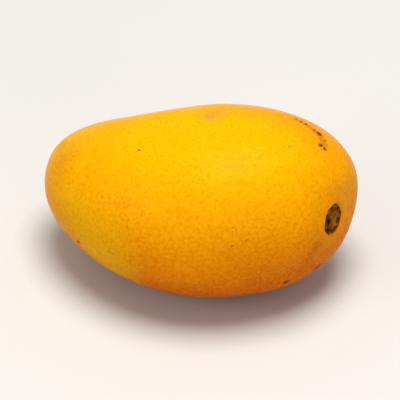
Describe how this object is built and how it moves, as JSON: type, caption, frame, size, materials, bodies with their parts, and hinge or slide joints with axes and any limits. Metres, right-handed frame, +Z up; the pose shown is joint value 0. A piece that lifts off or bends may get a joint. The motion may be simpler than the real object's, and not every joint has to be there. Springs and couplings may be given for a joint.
{
  "type": "mango",
  "caption": "Ripe yellow mango lying on its cheek: an oblique egg-shaped fruit with a full stem end, a slight beak, and a short woody stalk remnant in the stem pit.",
  "frame": {"origin": "on the surface that the fruit rests on, below the middle of its bounding box", "axes": "+X along the fruit towards its stem end, +Y across it towards the side with the beak, +Z up from the flat spot that it rests on"},
  "size_m": [0.1094, 0.076, 0.065],
  "materials": {
    "skin": "ripe amber-yellow fruit skin, smooth and waxy with a soft sheen, fine pores, small dark specks",
    "stalk": "dry brown woody stalk remnant with a dark corky collar, matt and crinkled"
  },
  "bodies": {
    "root": {"fruit": "skin", "stem_stub": "stalk"}
  },
  "joints": []
}
